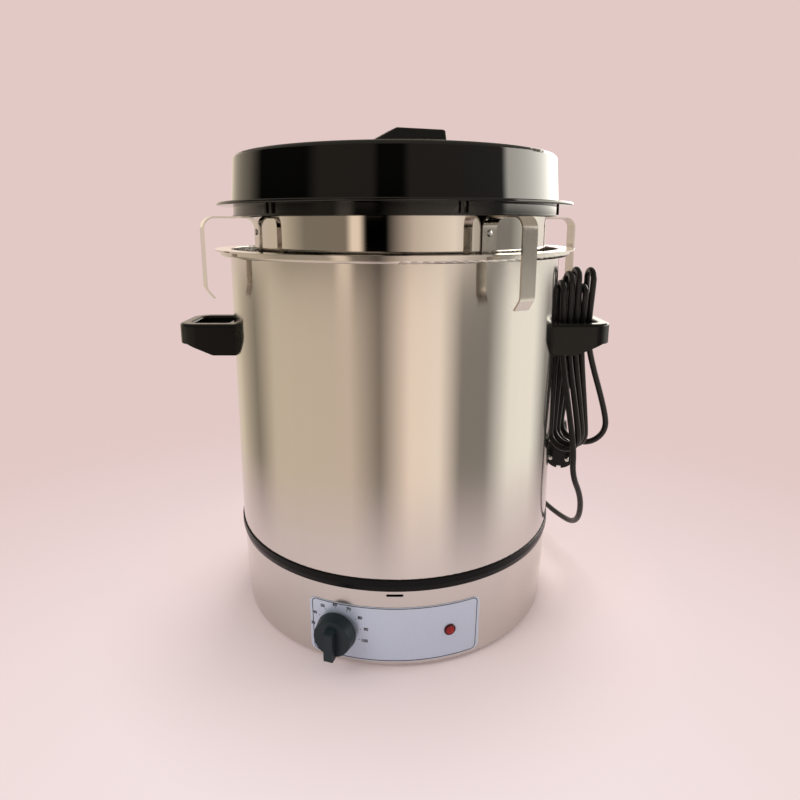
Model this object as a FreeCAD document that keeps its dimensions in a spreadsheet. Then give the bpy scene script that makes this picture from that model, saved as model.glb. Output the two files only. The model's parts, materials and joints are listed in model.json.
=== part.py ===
import FreeCAD, Part
import math
import os
import Sketcher
from FreeCAD import Placement, Rotation, Vector

# Candle wax melter: a water-bath vessel on a heated base, with a hooked wax insert and a lid.
# Millimetres. Z is up, the floor is z = 0 and the vessel's axis is the Z axis.
# The control panel faces -Y. Azimuths run from the front (-Y) towards +X, in degrees.

doc = FreeCAD.newDocument("waxMelter")
sheet = doc.addObject("Spreadsheet::Sheet", "sizes")

values = [
    # outer vessel
    ("bodyRad", 176.0), ("bodyWall", 1.2), ("bodyHigh", 304.5), ("bodyCorner", 3.0),
    ("beadOut", 10.0), ("beadHigh", 5.5), ("rimOut", 15.0), ("rimThick", 1.5),
    # base drum, its feet and the ring under the vessel
    ("footHigh", 3.0), ("footRad", 10.0), ("footInset", 24.4), ("footScrewRad", 2.0), ("footSink", 2.0),
    ("baseHigh", 80.9), ("baseInset", 0.6), ("baseTaper", 3.0), ("baseWall", 1.0),
    ("baseHem", 2.0), ("baseLip", 12.0), ("baseFlange", 14.0),
    ("ringHigh", 12.3), ("ringLip", 3.0), ("ringOut", 1.3), ("ringInset", 4.8),
    ("slotWide", 16.0), ("slotHigh", 2.6), ("slotDrop", 5.6),
    ("floorThick", 1.2), ("floorClear", 0.6), ("ventLong", 34.0), ("ventWide", 5.0), ("ventCircle", 95.0),
    ("tieRad", 4.0), ("tieCircle", 62.0), ("tieBore", 2.05), ("tieDeep", 9.0), ("tieHead", 2.1),
    # heating and control inside the base
    ("plateRad", 118.0), ("plateThick", 4.0), ("coilRad", 96.0), ("coilTube", 4.0), ("coilTail", 20.0),
    ("controlWide", 40.0), ("controlHigh", 34.0), ("controlDeep", 28.0),
    ("shaftRad", 3.0), ("shaftClear", 0.06),
    ("sensorRad", 3.2), ("sensorLong", 62.0), ("tubeRad", 1.0),
    ("cutoutRad", 8.0), ("cutoutHigh", 9.0), ("cutoutAt", 52.0),
    ("blockLong", 44.0), ("blockWide", 18.0), ("blockHigh", 16.0), ("blockAt", 118.0),
    # panel
    ("knobAt", -18.0), ("knobZ", 35.4), ("knobRad", 20.0), ("knobFace", 18.0), ("knobDeep", 13.0),
    ("knobSkirt", 3.0), ("gripWide", 8.8), ("gripHigh", 8.0), ("gripHalf", 18.0), ("knobGap", 4.2),
    ("knobBore", 10.0), ("bushRad", 5.0),
    ("lampAt", 17.5), ("lampZ", 34.8), ("lampRad", 4.6), ("lampProud", 1.6), ("lampRim", 5.8),
    ("labelWide", 163.5), ("labelHigh", 58.4), ("labelZ", 34.2), ("labelThick", 0.5), ("labelCorner", 6.0),
    # side handles
    ("handleTop", 307.6), ("handleReach", 60.3), ("handleHalf", 38.0), ("handleBar", 13.5),
    ("handleArm", 13.0), ("handleWeb", 6.0), ("rootDeep", 34.0), ("gripDeep", 22.0),
    ("slopeFrom", 21.0), ("slopeTo", 49.0), ("handleRound", 22.0), ("handleEdge", 3.0),
    ("screwRad", 2.5), ("screwHead", 5.0), ("screwDeep", 12.0), ("screwDrop", 15.0), ("screwAngle", 10.2),
    # wax insert and its hooks
    ("insertGap", 20.0), ("insertWall", 1.0), ("insertHigh", 338.9), ("insertShift", 5.3),
    ("insertFoot", 4.0), ("insertRim", 3.0), ("footRingInset", 18.0), ("insertCorner", 7.0),
    ("hookWide", 15.5), ("hookThick", 1.8), ("hookTop", 420.3), ("hookBend", 10.0), ("hookReach", 52.5),
    ("hookEnd", 342.5), ("hookKick", 7.0), ("kickHigh", 10.0), ("hookRoot", 372.0),
    ("hookA", -64.0), ("hookB", 29.5), ("hookC", 104.0), ("hookD", 208.0),
    ("rivetRad", 2.0), ("rivetHead", 3.1), ("rivetDome", 1.5), ("rivetUpper", 15.0), ("rivetPitch", 21.0),
    # lid
    ("lidSkirtInset", 5.0), ("lidSkirtHigh", 10.7), ("lidFlangeOut", 11.1), ("lidFlangeThick", 3.2),
    ("lidWallInset", 3.8), ("lidWallLean", 3.3), ("lidWallHigh", 45.8), ("lidThick", 3.0),
    ("lidRound", 4.0), ("lidDome", 3.0), ("lidCentre", 78.0), ("lidRib", 3.2), ("lidRibOut", 2.4),
    ("lidRibPitch", 7.2), ("lidRibAt", 20.0), ("lidBead", 1.0),
    ("gripTop", 512.2), ("gripTurn", 18.7), ("gripThick", 28.0), ("gripLow", 51.0), ("gripEnd", 58.0),
    ("gripRise", -2.0), ("gripSide", 53.5), ("gripBar", 12.0), ("gripEase", 2.5),
    ("lidScrewRad", 2.0), ("lidScrewHead", 4.2), ("lidScrewIn", 5.5), ("lidScrewLeft", 38.0),
    ("lidScrewRight", 49.0),
    # mains cord and plug
    ("cordRad", 3.35), ("glandAt", 140.0), ("glandZ", 42.0), ("glandRad", 7.5), ("glandOut", 14.0),
    ("waistX", 202.4), ("waistY", 0.0), ("waistZ", 296.0), ("waistHalf", 6.6), ("waistPitch", 7.75),
    ("waistTurn", 8.0), ("loopTopX", 202.6), ("loopTopHalf", 9.4), ("loopTopPitch", 8.0), ("loopTopTurn", 4.0),
    ("loopLowX", 207.0), ("loopLowY", -2.0), ("loopLowHalf", 17.5), ("loopLowPitch", 8.4), ("loopLowTurn", 46.0),
    ("plugX", 204.0), ("plugY", 29.0), ("plugZ", 139.0), ("plugRad", 18.5), ("plugDeep", 24.0),
    ("plugNeck", 7.0), ("plugNeckHigh", 20.0), ("pinRad", 2.4), ("pinLong", 19.0), ("pinHalf", 9.5),
    ("plugTurn", -18.0), ("clipWide", 5.0), ("clipThick", 1.2),
]


# Named values carry their sheet name with them, so a sum of them is also a formula.
class Size:
    def __init__(self, value, text):
        self.value = float(value)
        self.text = text

    def __float__(self):
        return self.value

    def __add__(self, other):
        other = sized(other)
        return Size(self.value + other.value, "(%s + %s)" % (self.text, other.text))

    def __sub__(self, other):
        other = sized(other)
        return Size(self.value - other.value, "(%s - %s)" % (self.text, other.text))

    def __mul__(self, other):
        other = sized(other)
        return Size(self.value * other.value, "(%s * %s)" % (self.text, other.text))

    def __truediv__(self, other):
        other = sized(other)
        return Size(self.value / other.value, "(%s / %s)" % (self.text, other.text))

    def __neg__(self):
        return Size(-self.value, "(0 - %s)" % self.text)

    def __radd__(self, other):
        return sized(other) + self

    def __rsub__(self, other):
        return sized(other) - self

    def __rmul__(self, other):
        return sized(other) * self


def sized(x):
    if isinstance(x, Size):
        return x
    return Size(x, "%.9g" % x if x >= 0 else "(0 - %.9g)" % -x)


class Words:
    pass


s = Words()
for row, (word, value) in enumerate(values, start=1):
    sheet.set("A%d" % row, word)
    sheet.set("B%d" % row, "%g" % value)
    sheet.setAlias("B%d" % row, word)
    setattr(s, word, Size(value, "sizes." + word))
doc.recompute()

# Levels and radii that several pieces share
baseLow = s.footHigh
baseTop = baseLow + s.baseHigh
bodyLow = baseTop + s.ringLip
bodyTop = bodyLow + s.bodyHigh
bodyInner = s.bodyRad - s.bodyWall
baseRadTop = s.bodyRad - s.baseInset
baseRadBottom = baseRadTop - s.baseTaper
footCircle = baseRadBottom - s.footInset
ringInner = s.bodyRad - s.ringInset
insertRad = s.bodyRad - s.insertGap
lidSkirt = s.bodyRad - s.lidSkirtInset
lidFlange = s.bodyRad + s.lidFlangeOut
lidWallLow = s.bodyRad - s.lidWallInset
lidWallTop = lidWallLow - s.lidWallLean
bodyFloor = bodyLow + s.bodyWall
insertTop = bodyFloor + s.insertHigh
archTop = s.footHigh + s.hookTop
handleTop = s.footHigh + s.handleTop
lidLow = archTop
flangeLow = lidLow + s.lidSkirtHigh
flangeTop = flangeLow + s.lidFlangeThick
lidEdge = flangeTop + s.lidWallHigh
lidFlat = lidEdge + s.lidDome
floorLow = baseLow + s.baseWall
floorTop = floorLow + s.floorThick
knobHeight = s.footHigh + s.knobZ
lampHeight = s.footHigh + s.lampZ


def shellRadius(height):
    # outer radius of the base drum at a height over the floor
    return baseRadBottom + (baseRadTop - baseRadBottom) * (height - baseLow) / s.baseHigh


# Sketch and feature helpers
def bind(obj, prop, size):
    if isinstance(size, Size):
        obj.setExpression(prop, size.text)


def newSketch(body, name, role):
    sketch = body.newObject("Sketcher::SketchObject", name)
    for plane in body.Origin.OriginFeatures:
        if plane.Role == role:
            sketch.AttachmentSupport = [(plane, "")]
    sketch.MapMode = "FlatFace"
    return sketch


def holdValue(sketch, kind, geo, pos, size):
    size = sized(size)
    if size.value == 0.0 and "sizes" not in size.text:
        sketch.addConstraint(Sketcher.Constraint("PointOnObject", geo, pos, -2 if kind == "DistanceX" else -1))
        return
    index = sketch.addConstraint(Sketcher.Constraint(kind, -1, 1, geo, pos, size.value))
    if "sizes" in size.text:
        sketch.setExpression("Constraints[%d]" % index, size.text)


def holdPoint(sketch, geo, pos, x, y):
    holdValue(sketch, "DistanceX", geo, pos, x)
    holdValue(sketch, "DistanceY", geo, pos, y)


def holdRadius(sketch, geo, size):
    size = sized(size)
    index = sketch.addConstraint(Sketcher.Constraint("Radius", geo, size.value))
    if "sizes" in size.text:
        sketch.setExpression("Constraints[%d]" % index, size.text)


def drawLoop(sketch, corners):
    # a closed outline: each corner is (x, y) or (x, y, rounding radius)
    flat = [Vector(float(sized(c[0])), float(sized(c[1])), 0) for c in corners]
    count = len(corners)
    starts, ends, arcs = [], [], []
    for i, corner in enumerate(corners):
        if len(corner) == 2:
            starts.append(flat[i])
            ends.append(flat[i])
            arcs.append(None)
            continue
        radius = float(sized(corner[2]))
        back = (flat[i - 1] - flat[i]).normalize()
        ahead = (flat[(i + 1) % count] - flat[i]).normalize()
        half = back.getAngle(ahead) / 2
        ends.append(flat[i] + back * (radius / math.tan(half)))
        starts.append(flat[i] + ahead * (radius / math.tan(half)))
        centre = flat[i] + (back + ahead).normalize() * (radius / math.sin(half))
        arcs.append((centre, radius, (-back).cross(ahead).z > 0))
    lines = []
    for i in range(count):
        lines.append(sketch.addGeometry(Part.LineSegment(starts[i], ends[(i + 1) % count]), False))
    for i, corner in enumerate(corners):
        before, after = lines[i - 1], lines[i]
        if arcs[i] is None:
            sketch.addConstraint(Sketcher.Constraint("Coincident", before, 2, after, 1))
            holdPoint(sketch, after, 1, corner[0], corner[1])
            continue
        centre, radius, left = arcs[i]
        a, b = (ends[i], starts[i]) if left else (starts[i], ends[i])
        first = math.atan2(a.y - centre.y, a.x - centre.x)
        last = math.atan2(b.y - centre.y, b.x - centre.x)
        ring = Part.Circle(centre, Vector(0, 0, 1), radius)
        arc = sketch.addGeometry(Part.ArcOfCircle(ring, first, last), False)
        tip = sketch.addGeometry(Part.Point(flat[i]), True)
        sketch.addConstraint(Sketcher.Constraint("Tangent", before, 2, arc, 1 if left else 2))
        sketch.addConstraint(Sketcher.Constraint("Tangent", arc, 2 if left else 1, after, 1))
        sketch.addConstraint(Sketcher.Constraint("PointOnObject", tip, 1, before))
        sketch.addConstraint(Sketcher.Constraint("PointOnObject", tip, 1, after))
        holdRadius(sketch, arc, corner[2])
        holdPoint(sketch, tip, 1, corner[0], corner[1])


def drawCircle(sketch, x, y, radius):
    centre = Vector(float(sized(x)), float(sized(y)), 0)
    ring = sketch.addGeometry(Part.Circle(centre, Vector(0, 0, 1), float(sized(radius))), False)
    holdPoint(sketch, ring, 3, x, y)
    holdRadius(sketch, ring, radius)


def newBody(name):
    return doc.addObject("PartDesign::Body", name)


def turned(name, corners):
    # a body of revolution about Z from an outline of (radius, height)
    body = newBody(name)
    sketch = newSketch(body, name + "Profile", "XZ_Plane")
    drawLoop(sketch, corners)
    turn = body.newObject("PartDesign::Revolution", name + "Turn")
    turn.Profile = sketch
    turn.ReferenceAxis = (sketch, ["V_Axis"])
    turn.Angle = 360
    sketch.Visibility = False
    return body


def padded(name, role, loops, length, middle=True, lift=None):
    # a pad of one or more closed outlines in one of the origin planes
    body = newBody(name)
    sketch = newSketch(body, name + "Outline", role)
    for loop in loops:
        drawLoop(sketch, loop)
    if lift is not None:
        sketch.setExpression("AttachmentOffset.Base.z", sized(lift).text)
    pad = body.newObject("PartDesign::Pad", name + "Pad")
    pad.Profile = sketch
    pad.Length = float(sized(length))
    bind(pad, "Length", length)
    if middle:
        pad.SideType = "Symmetric"
    sketch.Visibility = False
    return body


def rod(name, radius, length):
    obj = doc.addObject("Part::Cylinder", name)
    obj.Radius = float(sized(radius))
    obj.Height = float(sized(length))
    bind(obj, "Radius", radius)
    bind(obj, "Height", length)
    return obj


def brick(name, long, wide, high):
    obj = doc.addObject("Part::Box", name)
    for prop, size in (("Length", long), ("Width", wide), ("Height", high)):
        setattr(obj, prop, float(sized(size)))
        bind(obj, prop, size)
    return obj


def fused(name, pieces):
    obj = doc.addObject("Part::MultiFuse", name)
    obj.Shapes = pieces
    return obj


def cut(name, base, tools):
    tool = tools[0] if len(tools) == 1 else fused(name + "Tools", tools)
    obj = doc.addObject("Part::Cut", name)
    obj.Base = base
    obj.Tool = tool
    return obj


def common(name, one, two):
    obj = doc.addObject("Part::Common", name)
    obj.Base = one
    obj.Tool = two
    return obj


def copies(name, source, places):
    # separate solids of one shape, as one group
    doc.recompute()
    made = []
    for i, place in enumerate(places):
        item = doc.addObject("Part::Feature", "%s%d" % (name, i + 1))
        item.Shape = source.Shape.copy()
        item.Placement = place
        made.append(item)
    group = doc.addObject("Part::Compound", name)
    group.Links = made
    return group


# Placements about the vessel's axis
def radial(azimuth, radius, height, spin=0.0):
    # local Z points outward and local Y up
    a = math.radians(float(azimuth))
    spot = Vector(float(radius) * math.sin(a), -float(radius) * math.cos(a), float(height))
    turn = Rotation(Vector(0, 0, 1), float(azimuth)) * Rotation(Vector(1, 0, 0), 90)
    return Placement(spot, turn * Rotation(Vector(0, 0, 1), spin))


def upright(azimuth, radius, height):
    # local X points outward and local Z up
    a = math.radians(float(azimuth))
    spot = Vector(float(radius) * math.sin(a), -float(radius) * math.cos(a), float(height))
    return Placement(spot, Rotation(Vector(0, 0, 1), float(azimuth) - 90))


def shifted(place, x=0.0, y=0.0, z=0.0):
    return Placement(Vector(float(x), float(y), float(z)), Rotation()) * place


parts = []


def finish(node, obj, place=None):
    obj.Label = node
    if place is not None:
        obj.Placement = place
    parts.append((node, obj))
    return obj


# Base drum
def baseShell():
    w = s.baseWall
    r0, r1 = baseRadBottom, baseRadTop
    drum = turned("baseDrum", [
        (r0 - s.baseLip, baseLow), (r0, baseLow, s.baseHem), (r1, baseTop),
        (r1 - s.baseFlange, baseTop), (r1 - s.baseFlange, baseTop - w), (r1 - w, baseTop - w),
        (r0 - w, baseLow + w, s.baseHem - w), (r0 - s.baseLip, baseLow + w)])
    reach = s.baseFlange + 4
    shaft = rod("shaftHole", s.bushRad + 0.4, reach)
    shaft.Placement = radial(s.knobAt, baseRadBottom - 10, knobHeight)
    lamp = rod("lampHole", s.lampRad, reach)
    lamp.Placement = radial(s.lampAt, baseRadBottom - 10, lampHeight)
    gland = rod("glandHole", s.glandRad - 2, reach)
    gland.Placement = radial(s.glandAt, baseRadBottom - 10, s.footHigh + s.glandZ)
    vent = padded("slotCutter", "XZ_Plane", [[
        (-s.slotWide / 2, baseTop - s.slotDrop, s.slotHigh * 0.42),
        (s.slotWide / 2, baseTop - s.slotDrop, s.slotHigh * 0.42),
        (s.slotWide / 2, baseTop - s.slotDrop + s.slotHigh, s.slotHigh * 0.42),
        (-s.slotWide / 2, baseTop - s.slotDrop + s.slotHigh, s.slotHigh * 0.42)]], 12.0)
    vent.Placement = Placement(Vector(0, -float(baseRadTop), 0), Rotation())
    finish("base_shell", cut("baseShell", drum, [shaft, lamp, gland, vent]))


def baseFloor():
    edge = baseRadBottom - s.baseWall - s.baseHem - s.floorClear
    plate = turned("floorPlate", [
        (0, floorLow), (edge, floorLow), (edge, floorTop), (0, floorTop)])
    slot = newSketch(plate, "ventOutline", "XY_Plane")
    half = s.ventWide / 2
    drawLoop(slot, [
        (s.ventCircle - half, -s.ventLong / 2, half * 0.96), (s.ventCircle + half, -s.ventLong / 2, half * 0.96),
        (s.ventCircle + half, s.ventLong / 2, half * 0.96), (s.ventCircle - half, s.ventLong / 2, half * 0.96)])
    slot.setExpression("AttachmentOffset.Base.z", (floorLow - 1).text)
    doc.recompute()
    pocket = plate.newObject("PartDesign::Pocket", "vent")
    pocket.Profile = slot
    pocket.Reversed = True
    pocket.Length = 5
    doc.recompute()
    ring = plate.newObject("PartDesign::PolarPattern", "vents")
    ring.Originals = [pocket]
    ring.Axis = (slot, ["N_Axis"])
    ring.Angle = 360
    ring.Occurrences = 8
    plate.Tip = ring
    holes = []
    for i in range(4):
        hole = rod("footHole%d" % i, s.footScrewRad + 0.1, 8.0)
        hole.Placement = upright(45 + 90 * i, footCircle, floorLow - 2)
        holes.append(hole)
    for i in range(3):
        hole = rod("tieHole%d" % i, s.tieBore + 0.1, 8.0)
        hole.Placement = upright(120 * i + 60, s.tieCircle, floorLow - 2)
        holes.append(hole)
    finish("base_floor", cut("baseFloor", plate, holes))


def feet():
    pad = turned("footPad", [
        (s.footScrewRad + 0.1, s.footSink), (s.footScrewRad + 0.1, floorLow), (s.footRad, floorLow),
        (s.footRad - 1, 0), (s.footScrewRad + 3, 0), (s.footScrewRad + 3, s.footSink)])
    spots = [upright(45 + 90 * i, footCircle, 0) for i in range(4)]
    finish("feet", copies("footGroup", pad, spots))
    screw = turned("footScrew", [
        (0, 0.3), (s.footScrewRad + 2, 0.3, 0.5), (s.footScrewRad + 2, s.footSink), (s.footScrewRad, s.footSink),
        (s.footScrewRad, floorTop + 5), (0, floorTop + 5)])
    finish("foot_screws", copies("footScrewGroup", screw, spots))


def jointRing():
    out = s.bodyRad + s.ringOut
    finish("joint_ring", turned("jointRing", [
        (ringInner, baseTop), (baseRadTop + 0.5, baseTop), (out, baseTop + s.ringHigh * 0.45),
        (out, baseTop + s.ringHigh, 0.8), (s.bodyRad, baseTop + s.ringHigh), (s.bodyRad, bodyLow),
        (ringInner, bodyLow)]))


# Outer vessel with its rolled rim
def outerVessel():
    low = bodyTop - s.rimThick
    wall = turned("vesselWall", [
        (0, bodyLow), (s.bodyRad, bodyLow, s.bodyCorner), (s.bodyRad, low - s.beadHigh),
        (s.bodyRad + s.beadOut, low - s.beadHigh, s.beadHigh * 0.45), (s.bodyRad + s.beadOut, low),
        (s.bodyRad + s.rimOut, low), (s.bodyRad + s.rimOut, bodyTop), (bodyInner, bodyTop, 1.0),
        (bodyInner, bodyFloor, s.bodyCorner - s.bodyWall), (0, bodyFloor)])
    holes = []
    for i, place in enumerate(screwPlaces(bodyInner - 2)):
        hole = rod("vesselHole%d" % i, s.screwRad + 0.05, 8.0)
        hole.Placement = place
        holes.append(hole)
    finish("outer_vessel", cut("outerVessel", wall, holes))


def tieRods():
    # spacers that hang from the heater plate and carry the base floor
    under = bodyLow - s.plateThick
    stud = turned("tieStud", [
        (s.tieBore, floorTop), (s.tieRad, floorTop), (s.tieRad, under), (0, under),
        (0, floorTop + s.tieDeep + 2), (s.tieBore, floorTop + s.tieDeep + 1)])
    places = [upright(120 * i + 60, s.tieCircle, 0) for i in range(3)]
    finish("tie_rods", copies("tieGroup", stud, places))
    shank = s.tieBore - 0.05
    screw = turned("tieScrew", [
        (0, floorLow - s.tieHead), (s.tieRad + 1, floorLow - s.tieHead, 0.6), (s.tieRad + 1, floorLow),
        (shank, floorLow), (shank, floorTop + s.tieDeep), (0, floorTop + s.tieDeep)])
    finish("tie_screws", copies("tieScrewGroup", screw, places))


# Heater under the vessel
def heater():
    under = bodyLow - s.plateThick
    plate = turned("heaterPlate", [
        (0, under), (s.plateRad, under, 1.0), (s.plateRad, bodyLow), (0, bodyLow)])
    finish("heater_plate", plate)
    ring = doc.addObject("Part::Torus", "coilRing")
    ring.Radius1 = float(s.coilRad)
    ring.Radius2 = float(s.coilTube)
    bind(ring, "Radius1", s.coilRad)
    bind(ring, "Radius2", s.coilTube)
    ring.Angle3 = 336
    ring.Placement = Placement(Vector(0, 0, float(under - s.coilTube)), Rotation(Vector(0, 0, 1), 102))
    pieces = [ring]
    for i, azimuth in enumerate((102, 78)):
        tail = rod("coilTail%d" % i, s.coilTube, s.coilTail)
        turn = math.radians(azimuth)
        tail.Placement = Placement(Vector(float(s.coilRad) * math.cos(turn), float(s.coilRad) * math.sin(turn),
                                          float(under - s.coilTube - s.coilTail)), Rotation())
        knee = doc.addObject("Part::Sphere", "coilKnee%d" % i)
        knee.Radius = float(s.coilTube)
        bind(knee, "Radius", s.coilTube)
        knee.Placement = Placement(Vector(float(s.coilRad) * math.cos(turn), float(s.coilRad) * math.sin(turn),
                                          float(under - s.coilTube)), Rotation())
        pieces += [tail, knee]
    finish("heating_element", fused("heatingElement", pieces))
    cutout = turned("thermalCutout", [
        (0, under - s.cutoutHigh), (s.cutoutRad - 2, under - s.cutoutHigh), (s.cutoutRad - 2, under - 3),
        (s.cutoutRad, under - 3), (s.cutoutRad, under), (0, under)])
    finish("thermal_cutout", cutout, upright(200, s.cutoutAt, 0))


# Control behind the panel
def control():
    inner = shellRadius(knobHeight - s.controlHigh / 2) - s.baseWall
    reach = math.sqrt(float(inner) ** 2 - (float(s.controlWide) / 2) ** 2)
    front = sized(reach) - 0.3
    case = padded("controlCase", "XY_Plane", [[
        (-s.controlWide / 2, -s.controlHigh / 2, 2), (s.controlWide / 2, -s.controlHigh / 2, 2),
        (s.controlWide / 2, s.controlHigh / 2, 2), (-s.controlWide / 2, s.controlHigh / 2, 2)]],
        s.controlDeep, middle=False)
    case.Placement = radial(s.knobAt, float(front) - float(s.controlDeep), knobHeight)
    bush = rod("controlBush", s.bushRad, float(shellRadius(knobHeight) + s.labelThick) - float(front))
    bush.Placement = radial(s.knobAt, front, knobHeight)
    bore = rod("controlBore", s.shaftRad + s.shaftClear, 40.0)
    bore.Placement = radial(s.knobAt, float(front) - 14, knobHeight)
    finish("thermostat", cut("thermostat", fused("controlSolid", [case, bush]), [bore]))
    return front


def knobPieces(front):
    seat = shellRadius(knobHeight) + s.labelThick + s.knobGap
    deep, half = s.knobDeep, s.gripHalf
    disc = turned("knobDisc", [
        (s.shaftRad, 0), (s.knobRad, 0, 0.8), (s.knobRad - 0.5, s.knobSkirt, 0.8), (s.knobFace, deep, 1.2),
        (0, deep), (0, s.knobBore), (s.shaftRad, s.knobBore)])
    grip = padded("knobGrip", "YZ_Plane", [[
        (-half, deep - 0.6), (-half, deep + s.gripHigh, 1.2), (half * 0.56, deep + s.gripHigh, 1.2),
        (half * 0.64, deep + 0.4), (half * 0.64, deep - 0.6)]], s.gripWide)
    finish("knob", fused("knob", [disc, grip]), radial(s.knobAt, seat, knobHeight))
    start = float(front) - 13.5
    shaft = rod("shaftRod", s.shaftRad, float(seat) + float(s.knobBore) - start)
    shaft.Placement = radial(s.knobAt, start, knobHeight)
    finish("control_shaft", shaft)


def lampPieces():
    skin = shellRadius(lampHeight)
    lens = turned("lampLens", [
        (0, -8.0), (s.lampRad - 0.1, -8.0), (s.lampRad - 0.1, s.labelThick + 0.4), (s.lampRim, s.labelThick + 0.4),
        (s.lampRim, s.labelThick + 0.9), (s.lampRim - 0.9, s.labelThick + s.lampProud), (0, s.labelThick + s.lampProud + 0.5)])
    finish("lamp_lens", lens, radial(s.lampAt, skin, lampHeight))
    holder = turned("lampHolder", [
        (0, -24), (s.lampRad + 0.8, -24), (s.lampRad + 0.8, -10), (s.lampRad + 2.2, -10),
        (s.lampRad + 2.2, -1.6), (s.lampRad, -1.6), (s.lampRad, -8.1), (0, -8.1)])
    finish("lamp_holder", holder, radial(s.lampAt, skin, lampHeight))


def labelPlate():
    gap = 0.02
    low, high = baseLow + s.baseHem + 1, baseTop - s.slotDrop - 2
    skin = turned("labelSkin", [
        (shellRadius(low) + gap, low), (shellRadius(low) + s.labelThick, low),
        (shellRadius(high) + s.labelThick, high), (shellRadius(high) + gap, high)])
    wide = s.labelWide / 2
    middle = s.footHigh + s.labelZ
    window = padded("labelWindow", "XZ_Plane", [[
        (-wide, middle - s.labelHigh / 2, s.labelCorner), (wide, middle - s.labelHigh / 2, s.labelCorner),
        (wide, middle + s.labelHigh / 2, s.labelCorner), (-wide, middle + s.labelHigh / 2, s.labelCorner)]], 80.0)
    window.Placement = Placement(Vector(0, -float(baseRadTop) + 10, 0), Rotation())
    plate = common("labelBlank", skin, window)
    shaft = rod("labelShaftHole", s.bushRad + 0.6, 30.0)
    shaft.Placement = radial(s.knobAt, baseRadBottom - 10, knobHeight)
    lamp = rod("labelLampHole", s.lampRad, 30.0)
    lamp.Placement = radial(s.lampAt, baseRadBottom - 10, lampHeight)
    finish("label_plate", cut("labelPlate", plate, [shaft, lamp]))


# Side handles
def screwPlaces(radius):
    places = []
    for side in (90, -90):
        for lean in (s.screwAngle, -s.screwAngle):
            places.append(radial(side + float(lean), radius, handleTop - s.screwDrop))
    return places


def sideHandle(node, side):
    r, half = s.bodyRad, s.handleHalf
    outer = [(r - 8, -half), (r + s.handleReach, -half, s.handleRound), (r + s.handleReach, half, s.handleRound),
             (r - 8, half)]
    hole = [(r + s.handleWeb, -(half - s.handleArm), 3), (r + s.handleReach - s.handleBar, -(half - s.handleArm), 9),
            (r + s.handleReach - s.handleBar, half - s.handleArm, 9), (r + s.handleWeb, half - s.handleArm, 3)]
    plan = padded(node + "Plan", "XY_Plane", [outer, hole], s.rootDeep, middle=False,
                  lift=handleTop - s.rootDeep)
    doc.recompute()
    pad = plan.Tip
    rim = topEdges(plan, float(handleTop))
    ease = plan.newObject("PartDesign::Fillet", node + "Ease")
    ease.Base = (pad, rim)
    ease.Radius = float(s.handleEdge)
    bind(ease, "Radius", s.handleEdge)
    plan.Tip = ease
    low = handleTop - s.rootDeep
    side2 = padded(node + "Side", "XZ_Plane", [[
        (r - 8, low), (r + s.slopeFrom, low, 6), (r + s.slopeTo, handleTop - s.gripDeep, 6),
        (r + s.handleReach, handleTop - s.gripDeep, 5), (r + s.handleReach, handleTop, 4), (r - 8, handleTop)]],
        s.handleHalf * 2 + 10)
    block = common(node + "Block", plan, side2)
    wall = rod(node + "Wall", s.bodyRad, s.rootDeep + 4)
    wall.Placement = Placement(Vector(0, 0, float(low) - 2), Rotation())
    holes = [wall]
    for i, lean in enumerate((s.screwAngle, -s.screwAngle)):
        hole = rod(node + "Hole%d" % i, s.screwRad + 0.05, s.screwDeep + 2.5)
        hole.Placement = radial(90 + float(lean), s.bodyRad - 2, handleTop - s.screwDrop)
        holes.append(hole)
    bow = cut(node + "Bow", block, holes)
    finish(node, bow, Placement(Vector(0, 0, 0), Rotation(Vector(0, 0, 1), side - 90)))


def topEdges(body, height):
    names = []
    for i, edge in enumerate(body.Shape.Edges, start=1):
        box = edge.BoundBox
        if abs(box.ZMin - height) < 1e-4 and abs(box.ZMax - height) < 1e-4:
            if box.XMin > float(s.bodyRad) + 0.5 or box.XMax > float(s.bodyRad) + 30:
                names.append("Edge%d" % i)
    return names


def handleScrews():
    screw = turned("handleScrew", [
        (0, -2.6), (s.screwHead * 0.6, -2.2), (s.screwHead, -0.12), (s.screwRad, -0.12),
        (s.screwRad, s.bodyWall + s.screwDeep), (0, s.bodyWall + s.screwDeep)])
    finish("handle_screws", copies("handleScrewGroup", screw, screwPlaces(bodyInner)))


# Wax insert, standing on the vessel's floor and drawn aside by its slack
def insertPot():
    r, w, low = insertRad, s.insertWall, bodyFloor
    footRing = r - s.footRingInset
    step = s.insertFoot
    pot = turned("insertTurned", [
        (0, low + step), (footRing - 6, low + step), (footRing, low), (r, low, s.insertCorner),
        (r, insertTop - 2.6), (r + s.insertRim, insertTop - 2.6, 1.2), (r + s.insertRim, insertTop, 1.2),
        (r - w, insertTop), (r - w, low + w, s.insertCorner - w), (footRing + 0.5, low + w),
        (footRing - 5.5, low + step + w), (0, low + step + w)])
    holes = []
    for i, place in enumerate(rivetPlaces(r - 4, 0.0)):
        hole = rod("insertHole%d" % i, s.rivetRad + 0.05, 8.0)
        hole.Placement = place
        holes.append(hole)
    finish("insert_pot", cut("insertPot", pot, holes), Placement(Vector(float(s.insertShift), 0, 0), Rotation()))


def rivetPlaces(radius, shift):
    places = []
    for azimuth in (s.hookA, s.hookB, s.hookC, s.hookD):
        for drop in (s.rivetUpper, s.rivetUpper + s.rivetPitch):
            places.append(shifted(radial(azimuth, radius, archTop - drop), x=shift))
    return places


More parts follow.
